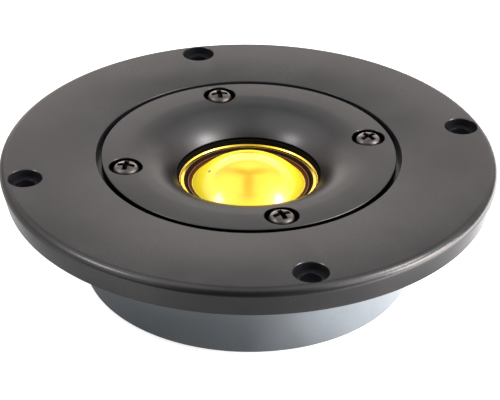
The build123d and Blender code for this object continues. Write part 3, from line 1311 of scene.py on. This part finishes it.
@dataclass
class Waveguide:
    """The screwed-in insert with its flare, and its four pan-head screws."""

    book: FinishBook
    boss_radius: float = 30.7
    groove_depth: float = 2.4
    rim_round: float = 0.28
    flare_width: float = 11.0
    throat_radius: float = 16.0
    throat_lip: float = 1.3
    throat_chamfer: Point = (0.05, 0.08)
    recess_radius: float = 22.8
    recess_depth: float = 0.9
    screw_circle: float = 27.7
    screw_count: int = 4
    pocket_radius: float = 3.7
    pocket_depth: float = 1.7
    pocket_ease: float = 0.12
    hole_radius: float = 1.7
    head_radius: float = 2.8
    head_height: float = 2.15
    head_edge: float = 0.55
    head_foot: float = 0.1
    head_power: float = 2.8
    shank_radius: float = 1.5
    thread_pitch: float = 0.5
    thread_depth: float = 0.16
    cross_length: float = 4.1
    cross_width: float = 1.15
    cross_sink: float = 1.4
    cross_layers: tuple[Triple, ...] = (
        (1.0, 1.0, 0.5), (1.0, 1.0, 0.0), (0.75, 0.85, -0.7), (0.35, 0.6, -1.0),
    )
    cross_turns: tuple[float, ...] = (26.0, -6.0, -23.0, 10.0)

    def outline(self) -> Outline:
        """The insert's section.

        Returns:
            The outline, from the throat outwards and back over the flare.
        """
        top = top_of("waveguide_insert")
        rim = radius_of("waveguide_insert")
        ledge = top - self.groove_depth
        drop = top - self.throat_lip
        flare = (self.flare_width**2 + drop**2) / (2 * drop)
        sweep = math.degrees(math.asin(self.flare_width / flare))
        across, down = self.throat_chamfer
        section = Outline()
        section.to(self.throat_radius + across, self.recess_depth)
        section.to(self.recess_radius, self.recess_depth).to(self.recess_radius, 0)
        section.to(self.boss_radius, 0).to(self.boss_radius, ledge).to(rim, ledge)
        section.arc((rim - self.rim_round, top - self.rim_round), self.rim_round, 0, 90, 6)
        section.arc((self.throat_radius + self.flare_width, top - flare), flare, 90, 90 + sweep, 40)
        section.to(self.throat_radius, self.throat_lip - down)
        return section

    def pocket_cutter(self, spot: Point) -> bpy.types.Object:
        """The round pocket and the screw's hole below it.

        Args:
            spot: the screw's place on the insert.

        Returns:
            A solid to cut away.
        """
        top = top_of("waveguide_insert")
        floor = top - self.pocket_depth
        cutter = round_pocket(self.pocket_radius, top, floor, self.pocket_ease)
        cutter.to(self.hole_radius, floor).to(self.hole_radius, -OVERCUT).to(0, -OVERCUT)
        return cutter.turned("pocket_cutter", HOLE_STEPS, spot)

    def head_outline(self, seat: float) -> Outline:
        """The section of a pan head.

        Args:
            seat: height of the pocket's floor.

        Returns:
            The outline, from the axis along the seat and back over the crown.
        """
        foot = self.head_foot
        head = Outline().to(0, seat)
        head.to(self.head_radius - foot, seat).to(self.head_radius, seat + foot)
        crown = self.head_height - self.head_edge
        for share in shares(16):
            reach = math.cos(math.pi / 2 * share)
            rise = (1 - reach**self.head_power) ** (1 / self.head_power)
            head.to(self.head_radius * reach, seat + self.head_edge + crown * rise)
        return head

    def cross_cutter(self, spot: Point, turn: float, crown: float) -> bpy.types.Object:
        """The cross recess, which narrows as it goes down.

        Args:
            spot: the screw's place on the insert.
            turn: the cross's turn from the line to the tweeter's axis, in degrees.
            crown: height of the head's top.

        Returns:
            A solid to cut away.
        """
        angle = math.radians(turn) + math.atan2(spot[1], spot[0])
        rings = []
        for reach, width, height in self.cross_layers:
            arm = self.cross_length / 2 * reach
            half = self.cross_width / 2 * width
            quarter = [(arm, -half), (arm, half), (half, half)]
            cross = list(quarter)
            for _ in range(3):
                quarter = [(-y, x) for x, y in quarter]
                cross += quarter
            rings.append([
                (
                    spot[0] + x * math.cos(angle) - y * math.sin(angle),
                    spot[1] + x * math.sin(angle) + y * math.cos(angle),
                    crown + height * self.cross_sink,
                )
                for x, y in cross
            ])
        return prism("recess_cutter", rings)

    def thread(self, name: str, spot: Point, low: float, high: float) -> bpy.types.Object:
        """A helical thread, as a skin of upright strips closed at both ends.

        Args:
            name: of the new object.
            spot: the screw's place on the insert.
            low: height of the screw's end.
            high: height of the head's seat.

        Returns:
            A new object, linked to the scene.
        """
        rows_per_turn = 6
        rows = round((high - low) / self.thread_pitch * rows_per_turn)
        rings = []
        for row in shares(rows):
            height = low + (high - low) * row
            ring = []
            for step in range(THREAD_STEPS):
                share = (height / self.thread_pitch - step / THREAD_STEPS) % 1.0
                radius = self.shank_radius - self.thread_depth * abs(2 * share - 1)
                angle = 2 * math.pi * step / THREAD_STEPS
                across, along = radius * math.cos(angle), radius * math.sin(angle)
                ring.append((spot[0] + across, spot[1] + along, height))
            rings.append(ring)
        return prism(name, rings)

    def screw(self, number: int, spot: Point, turn: float) -> bpy.types.Object:
        """One pan-head screw with a cross recess and a threaded shank.

        Args:
            number: of the screw, from 1.
            spot: its place on the insert.
            turn: of its cross, in degrees.

        Returns:
            A new object, linked to the scene.
        """
        seat = top_of("waveguide_insert") - self.pocket_depth
        head = self.head_outline(seat).turned(f"screw_head_{number}", HEAD_STEPS, spot)
        carve(head, [self.cross_cutter(spot, turn, seat + self.head_height)])
        shank = self.thread(f"screw_thread_{number}", spot, bottom_of("waveguide_screws"), seat)
        return joined(f"waveguide_screw_{number}", [head, shank])

    def build(self) -> None:
        """Makes the insert and its screws and puts them in place."""
        spots = around(self.screw_count, DIAGONAL, self.screw_circle)
        piece = self.outline().turned("waveguide_body")
        carve(piece, [self.pocket_cutter(spot) for spot in spots])
        place(piece, Body.CHASSIS, self.book.insert, "waveguide_insert")
        for number, (spot, turn) in enumerate(zip(spots, self.cross_turns), 1):
            place(self.screw(number, spot, turn), Body.CHASSIS, self.book.screw, "waveguide_screws")


# ------------------------------------------------------------------ diaphragm


@dataclass
class Diaphragm:
    """The gold dome, its surround foil and the voice coil behind them."""

    book: FinishBook
    dome_radius: float = 12.5
    skin: float = 0.2
    foot_width: float = 0.65
    pole_angle: float = 89.5
    foil: float = 0.2
    foil_bore: float = 12.7
    valley: float = -1.05
    bead_radius: float = 13.45
    bead_half: float = 0.3
    bead_height: float = 0.22
    rim_bore: float = 14.3
    rim_bend: float = 0.25
    ridge_radius: float = 14.8
    ridge_half: float = 0.25
    ridge_height: float = 0.01
    fold_radius: float = 15.38
    fold_half: float = 0.24
    fold_height: float = 0.28
    fold_lean: float = 1.4

    def dome_outline(self) -> Outline:
        """The dome's thin section, with its foot.

        Returns:
            The outline, over the top and back underneath.
        """
        apex = top_of("dome")
        foot = bottom_of("dome") + self.skin
        rise = apex - foot
        bore = self.dome_radius - self.skin
        flange = self.dome_radius + self.foot_width
        outer = (self.dome_radius**2 + rise**2) / (2 * rise)
        inner = (bore**2 + rise**2) / (2 * rise)
        outer_end = 90 - math.degrees(math.asin(self.dome_radius / outer))
        inner_end = 90 - math.degrees(math.asin(bore / inner))
        section = Outline().to(0, apex)
        section.arc((0, apex - outer), outer, self.pole_angle, outer_end, 48)
        section.to(flange, foot).to(flange, foot - self.skin).to(bore, foot - self.skin)
        section.arc((0, apex - self.skin - inner), inner, inner_end, self.pole_angle, 32)
        return section.to(0, apex - self.skin)

    def bead(self) -> list[Point]:
        """The half-round bead in the valley.

        Returns:
            The points of the bead.
        """
        return [
            (
                self.bead_radius - self.bead_half * math.cos(math.pi * share),
                self.valley + self.bead_height * math.sin(math.pi * share),
            )
            for share in shares(12)
        ]

    def bend(self, before: Point, corner: Point) -> list[Point]:
        """A soft bend from a sloping wall to the flat rim.

        Args:
            before: the point where the wall starts.
            corner: where the wall would meet the rim.

        Returns:
            The points of the bend.
        """
        turn = Vector(corner)
        start = turn - (turn - Vector(before)).normalized() * self.rim_bend
        ahead = turn + Vector((self.rim_bend, 0))
        points = []
        for share in shares(6):
            point = start * (1 - share) ** 2 + turn * 2 * share * (1 - share) + ahead * share**2
            points.append((point.x, point.y))
        return points

    @staticmethod
    def wave(
        middle: float, half: float, level: float, height: float, lean: float = 1.0,
    ) -> list[Point]:
        """A hump or a dip in the flat rim.

        Args:
            middle: radius of its middle.
            half: half its width.
            level: the rim's height.
            height: of the hump, below 0 for a dip.
            lean: above 1 when its crest leans outwards.

        Returns:
            The points of the wave.
        """
        return [
            (middle + half * (2 * share - 1), level + height * math.sin(math.pi * share**lean))
            for share in shares(8)
        ]

    def surround_outline(self) -> Outline:
        """The foil from the dome's foot over the bead to the flat rim.

        Returns:
            The outline, outwards on top and back underneath.
        """
        rim = top_of("surround")
        upper = [(self.foil_bore, self.valley), *self.bead()]
        upper += self.bend(upper[-1], (self.rim_bore, rim))
        upper += self.wave(self.ridge_radius, self.ridge_half, rim, -self.ridge_height)
        upper += self.wave(self.fold_radius, self.fold_half, rim, self.fold_height, self.fold_lean)
        upper.append((radius_of("surround"), rim))
        lower = [(radius, height - self.foil) for radius, height in reversed(upper)]
        return Outline().through(upper).through(lower)

    def build(self) -> None:
        """Makes the dome and its surround, and dresses the coil."""
        place(self.dome_outline().turned("dome_skin"), Body.DIAPHRAGM, self.book.dome, "dome")
        foil = self.surround_outline().turned("surround_foil")
        rim, foot = (self.rim_bore, 0.0, 0.0), (self.foil_bore, 0.0, 0.0)
        stretch(foil, self.book.surround, "surround", rim, foot)
        carry_over({"voice_coil_former": self.book.film, "voice_coil": self.book.coil})


# ------------------------------------------------------------------ motor, cup and terminals


@dataclass
class Motor:
    """Plates, magnet, pole, gaskets and the cup around them."""

    book: FinishBook
    wall: float = 1.2
    floor: float = 1.2
    bottom_round: float = 0.9
    inner_round: float = 0.4
    rim_ease: float = 0.15
    notch_half_width: float = 8.5
    notch_floor: float = -5.7
    notch_inner: float = 32.6

    def cup_outline(self) -> Outline:
        """The cup's section.

        Returns:
            The outline, from the middle of the base up the wall and back inside.
        """
        rim = radius_of("magnet_cup")
        low = bottom_of("magnet_cup")
        top = top_of("magnet_cup")
        bore = rim - self.wall
        outer, inner = self.bottom_round, self.inner_round
        section = Outline().to(0, low)
        section.arc((rim - outer, low + outer), outer, -90, 0, 8)
        section.to(rim, top - self.rim_ease).to(rim - self.rim_ease, top).to(bore, top)
        section.arc((bore - inner, low + self.floor + inner), inner, 0, -90, 5)
        return section.to(0, low + self.floor)

    def build(self) -> None:
        """Makes the cup and dresses what it holds."""
        cup = self.cup_outline().turned("cup_shell")
        outer = radius_of("magnet_cup") + OVERCUT
        top = top_of("magnet_cup") + OVERCUT
        notch = block(
            "notch", (-self.notch_half_width, self.notch_inner, self.notch_floor),
            (self.notch_half_width, outer, top),
        )
        carve(cup, [notch])
        place(cup, Body.CHASSIS, self.book.cup, "magnet_cup")
        carry_over({
            "top_plate": self.book.motor_steel,
            "back_plate": self.book.motor_steel,
            "pole_piece": self.book.motor_steel,
            "magnet_ring": self.book.ferrite,
            "copper_cap": self.book.copper,
            "damping_felt": self.book.felt,
            "cup_pad": self.book.foam,
            "spacer_gasket": self.book.foam,
            "clamp_gasket": self.book.foam,
            "diaphragm_frame": self.book.plastic,
        })


@dataclass
class Terminals:
    """The terminal block, its two blades, and the leads to the coil."""

    book: FinishBook
    block_ease: float = 0.35
    blade_ease: float = 0.12
    tail_ease: float = 0.02
    tail_still: float = 19.5
    tail_moving: float = 14.0

    def build(self) -> None:
        """Eases the block and the blades, dresses the leads, and eases and dresses the coil's bare
        ends.
        """
        holder = eased("terminal_block", self.block_ease)
        place(holder, Body.CHASSIS, self.book.plastic, "terminal_block")
        for blade in ("terminal_positive", "terminal_negative"):
            place(eased(blade, self.blade_ease), Body.CHASSIS, self.book.tin, blade)
        carry_over({
            "lead_wire_positive": self.book.red_sleeve,
            "lead_wire_negative": self.book.black_sleeve,
            "contact_tag_positive": self.book.tin,
            "contact_tag_negative": self.book.tin,
        })
        still, moving = (0.0, self.tail_still, 0.0), (0.0, self.tail_moving, 0.0)
        for tail in ("coil_tail_positive", "coil_tail_negative"):
            stretch(eased(tail, self.tail_ease), self.book.copper, tail, still, moving)


# ------------------------------------------------------------------ studio


@dataclass(frozen=True)
class Softbox:
    """A soft lamp, placed as seen from the tweeter, with the camera at azimuth 0."""

    name: str
    azimuth: float
    elevation: float
    width: float
    height: float
    radiance: float
    tint: Colour = WHITE
    distance: float = 0.9


@dataclass(frozen=True)
class Glow:
    """A soft bright patch of the surroundings, placed like a lamp.

    It fades from the core, where it is full, to the reach, both in degrees from its middle.
    """

    azimuth: float
    elevation: float
    strength: float
    reach: float
    core: float


@dataclass
class Studio:
    """Camera, floor, world and lamps. Angles in degrees, lengths in metres.

    Azimuths count from the camera, positive to its right. The floor's light levels go with the
    millimetres to the camera's right, and the world's with the height of the direction, from 0 on
    the horizon to 1 overhead.
    """

    azimuth: float = 30.31
    elevation: float = 31.11
    roll: float = 0.58
    distance: float = 0.3975
    aim: Triple = (0.0031, -0.0046, -0.0025)
    lens: float = 129.27
    sensor: float = 36.0
    softboxes: tuple[Softbox, ...] = (
        Softbox("right_window", 79.0, 10.0, 0.50, 0.30, 17.0, (1.0, 0.93, 0.90)),
        Softbox("right_lamp", 79.0, 42.0, 0.26, 0.18, 18.0),
        Softbox("left_lamp", -77.0, 43.0, 0.26, 0.18, 11.0),
    )
    glows: tuple[Glow, ...] = (
        Glow(79.0, 38.0, 1.3, 36.0, 8.0),
        Glow(-86.0, 50.0, 0.3, 36.0, 8.0),
        Glow(60.0, 22.0, 2.4, 28.0, 11.0),
        Glow(166.0, 8.0, 1.6, 14.0, 4.0),
        Glow(-166.0, 4.0, 3.0, 14.0, 4.0),
        Glow(-178.0, 23.0, 0.4, 12.0, 3.0),
    )
    far_levels: tuple[Point, ...] = (
        (0.0, 1.7), (0.27, 1.7), (0.36, 2.2), (0.44, 3.4), (0.47, 3.5), (0.50, 1.55), (0.53, 0.62),
        (0.56, 0.90), (0.65, 1.4), (0.75, 1.5), (1.0, 1.45),
    )
    side_levels: tuple[Point, ...] = ((0.0, 1.0), (0.2, 1.1), (0.5, 1.35), (0.8, 1.45), (1.0, 1.45))
    near_levels: tuple[Point, ...] = (
        (0.0, 0.04), (0.39, 0.04), (0.6, 0.12), (0.766, 0.36), (0.866, 0.9), (0.92, 1.35),
        (1.0, 1.45),
    )
    far_edge: Point = (0.72, 0.95)
    near_edge: Point = (-0.995, -0.60)
    warm: Colour = (1.0, 0.94, 0.90)
    neutral: Colour = (0.99, 1.0, 0.99)
    warm_edge: Point = (0.44, 0.53)
    beam: float = 0.66
    beam_lean: float = 0.5
    beam_sides: tuple[Point, Point] = ((0.24, 0.36), (0.44, 0.57))
    beam_end: Point = (0.12, 0.62)
    post: float = 0.56
    post_side: Point = (0.03, 0.20)
    post_ends: tuple[Point, Point] = ((-0.9, 0.1), (0.24, 0.36))
    floor_size: float = 6.0
    floor_paper: Colour = (0.8, 0.8, 0.8)
    floor_white: float = 0.66
    floor_lit: tuple[Point, ...] = (
        (-60.0, 1.4), (-35.0, 1.15), (0.0, 0.85), (19.0, 1.05), (36.0, 1.5), (51.0, 2.3),
        (62.0, 3.1), (90.0, 5.5), (150.0, 12.0),
    )
    floor_shaded: tuple[Point, ...] = (
        (-45.0, 0.32), (-22.0, 0.24), (0.0, 0.38), (12.0, 0.90), (24.0, 2.15), (42.0, 3.25),
        (51.0, 0.9),
    )
    floor_clear: Point = (46.0, 68.0)
    floor_fade: Point = (88.0, 130.0)
    floor_fade_share: float = 0.93
    floor_span: float = 160.0

    def bearing(self, azimuth: float, elevation: float = 0.0) -> Vector:
        """A direction from the tweeter.

        Args:
            azimuth: from the camera's own, positive to its right.
            elevation: above the horizon.

        Returns:
            The direction, of length 1.
        """
        turn = math.radians(self.azimuth + azimuth)
        rise = math.radians(elevation)
        reach = math.cos(rise)
        return Vector((math.sin(turn) * reach, -math.cos(turn) * reach, math.sin(rise)))

    def camera(self) -> None:
        """The camera, on its bearing, looking at the aim."""
        data = bpy.data.cameras.new("camera")
        data.lens = self.lens
        data.sensor_width = self.sensor
        made = bpy.data.objects.new("camera", data)
        bpy.context.scene.collection.objects.link(made)
        back = self.bearing(0.0, self.elevation)
        roll = Matrix.Rotation(math.radians(self.roll), 3, "Z")
        turn = back.to_track_quat("Z", "Y").to_matrix() @ roll
        stand = Matrix.Translation(Vector(self.aim) + back * self.distance)
        made.matrix_world = stand @ turn.to_4x4()
        bpy.context.scene.camera = made

    def lamps(self) -> None:
        """One rectangular area lamp for each softbox."""
        for box in self.softboxes:
            data = bpy.data.lights.new(box.name, "AREA")
            data.shape = "RECTANGLE"
            data.size = box.width
            data.size_y = box.height
            data.energy = box.radiance * math.pi * box.width * box.height
            data.color = box.tint
            made = bpy.data.objects.new(box.name, data)
            bpy.context.scene.collection.objects.link(made)
            away = self.bearing(box.azimuth, box.elevation)
            turn = away.to_track_quat("Z", "Y").to_matrix()
            made.matrix_world = Matrix.Translation(away * box.distance) @ turn.to_4x4()

    def floor(self) -> None:
        """A white floor, level with the lowest point of the tweeter, that keeps a soft shadow."""
        half = self.floor_size / 2
        low = CAD_BOX[0].z
        shape = bmesh.new()
        corners = ((-half, -half, low), (half, -half, low), (half, half, low), (-half, half, low))
        shape.faces.new([shape.verts.new(corner) for corner in corners])
        mesh = bpy.data.meshes.new("floor")
        shape.to_mesh(mesh)
        shape.free()
        plane = bpy.data.objects.new("floor", mesh)
        bpy.context.scene.collection.objects.link(plane)
        mesh.materials.append(self.floor_material())

    def floor_material(self) -> bpy.types.Material:
        """White paper to the camera, and the studio's light levels to reflections.

        Returns:
            A new material.
        """
        material = bpy.data.materials.new("floor_white")
        shader = ShaderTree(material)
        mirrored = shader.ray("Is Glossy Ray") + shader.ray("Is Transmission Ray")
        paper = shader.node("ShaderNodeBsdfDiffuse", {}, {"Color": self.floor_paper}).outputs[0]
        white = shader.glow(shader.ray("Is Camera Ray") * self.floor_white)
        lit = shader.node("ShaderNodeAddShader", {}, {0: paper, 1: white}).outputs[0]
        sheen = shader.glow(self.floor_pattern(shader))
        chosen = shader.node("ShaderNodeMixShader", {}, {0: mirrored, 1: lit, 2: sheen}).outputs[0]
        shader.node("ShaderNodeOutputMaterial", {}, {"Surface": chosen})
        return material

    def floor_pattern(self, shader: ShaderTree) -> Field:
        """What reflections see of the floor: lit paper, shaded near the tweeter, fading behind it.

        Args:
            shader: the floor's tree.

        Returns:
            The light level.
        """
        point = shader.place()
        across = point.along(tuple(self.bearing(90.0))) / (2 * self.floor_span * MM) + 0.5
        lit = self.levels(shader, across, self.across(self.floor_lit))
        shaded = self.levels(shader, across, self.across(self.floor_shaded))
        clear = point.radius().step_up(*metres(self.floor_clear))
        faded = point.along(tuple(self.bearing(0.0))).step_up(*metres(self.floor_fade))
        return (shaded * (1 - clear) + lit * clear) * (1 - faded * self.floor_fade_share)

    def across(self, levels: tuple[Point, ...]) -> tuple[Point, ...]:
        """Turns millimetres to the camera's right into places on a ramp."""
        return tuple((reach / (2 * self.floor_span) + 0.5, level) for reach, level in levels)

    @staticmethod
    def levels(shader: ShaderTree, position: Field, stops: tuple[Point, ...]) -> Field:
        """A light level that follows stops on a ramp.

        Args:
            shader: the tree.
            position: place on the ramp, from 0 to 1.
            stops: for each stop, its place and its level.

        Returns:
            The light level.
        """
        brightest = max(level for _, level in stops)
        scaled = [(stop, level / brightest) for stop, level in stops]
        made = shader.node("ShaderNodeValToRGB", {"stops": scaled}, {"Fac": position})
        return Field(shader, made.outputs["Color"]) * brightest

    def rig(self, toward: Direction) -> Field:
        """Dims a cross beam and the post that runs from it overhead towards the camera.

        Args:
            toward: the direction of the ray.

        Returns:
            The share of light that is left, 1 beside the beam and the post.
        """
        away = toward.along(tuple(self.bearing(180.0)))
        aside = toward.along(tuple(self.bearing(90.0))).size()
        lean = away - aside * self.beam_lean
        beam = lean.band(*self.beam_sides) * (1 - aside.step_up(*self.beam_end))
        post = (1 - aside.step_up(*self.post_side)) * away.band(*self.post_ends)
        return 1 - beam * self.beam - post * self.post

    def surroundings(self, shader: ShaderTree, toward: Direction) -> Field:
        """What lights the tweeter: a far and a near side, the rig overhead and the glows.

        Args:
            shader: the world's tree.
            toward: the direction of the ray.

        Returns:
            The light level.
        """
        height = toward.along(UP)
        away = toward.bearing().along(tuple(self.bearing(180.0)))
        far = away.step_up(*self.far_edge)
        near = 1 - away.step_up(*self.near_edge)
        level = self.levels(shader, height, self.side_levels) * (1 - far)
        level = level + self.levels(shader, height, self.far_levels) * far
        level = level * (1 - near) + self.levels(shader, height, self.near_levels) * near
        level = level * self.rig(toward)
        for glow in self.glows:
            lobe = toward.along(tuple(self.bearing(glow.azimuth, glow.elevation)))
            edge, core = (math.cos(math.radians(angle)) for angle in (glow.reach, glow.core))
            level = level + lobe.step_up(edge, core) * glow.strength
        return level

    def world(self) -> None:
        """White to the camera, and the surroundings to everything else."""
        made = bpy.data.worlds.new("studio")
        bpy.context.scene.world = made
        shader = ShaderTree(made)
        toward = Direction(shader, shader.node("ShaderNodeTexCoord").outputs["Generated"])
        seen = shader.ray("Is Camera Ray")
        tint = shader.mix(toward.along(UP).step_up(*self.warm_edge), self.warm, self.neutral)
        colour = shader.mix(seen, tint, WHITE)
        strength = self.surroundings(shader, toward) * (1 - seen) + seen
        shine = shader.node("ShaderNodeBackground", {}, {"Color": colour, "Strength": strength})
        shader.node("ShaderNodeOutputWorld", {}, {"Surface": shine.outputs[0]})

    def build(self) -> None:
        """Sets the stage."""
        bpy.context.scene.view_settings.view_transform = "Standard"
        self.camera()
        self.lamps()
        self.floor()
        self.world()


def main() -> None:
    """Builds the sub-assemblies in order, then the studio."""
    logging.basicConfig(level=logging.INFO, format="%(name)s: %(message)s")
    book = FinishBook()
    for assembly in (FrontFlange, Waveguide, Diaphragm, Motor, Terminals):
        LOG.info("building %s", assembly.__name__)
        assembly(book).build()
    Studio().build()


if __name__ == "__main__":
    main()
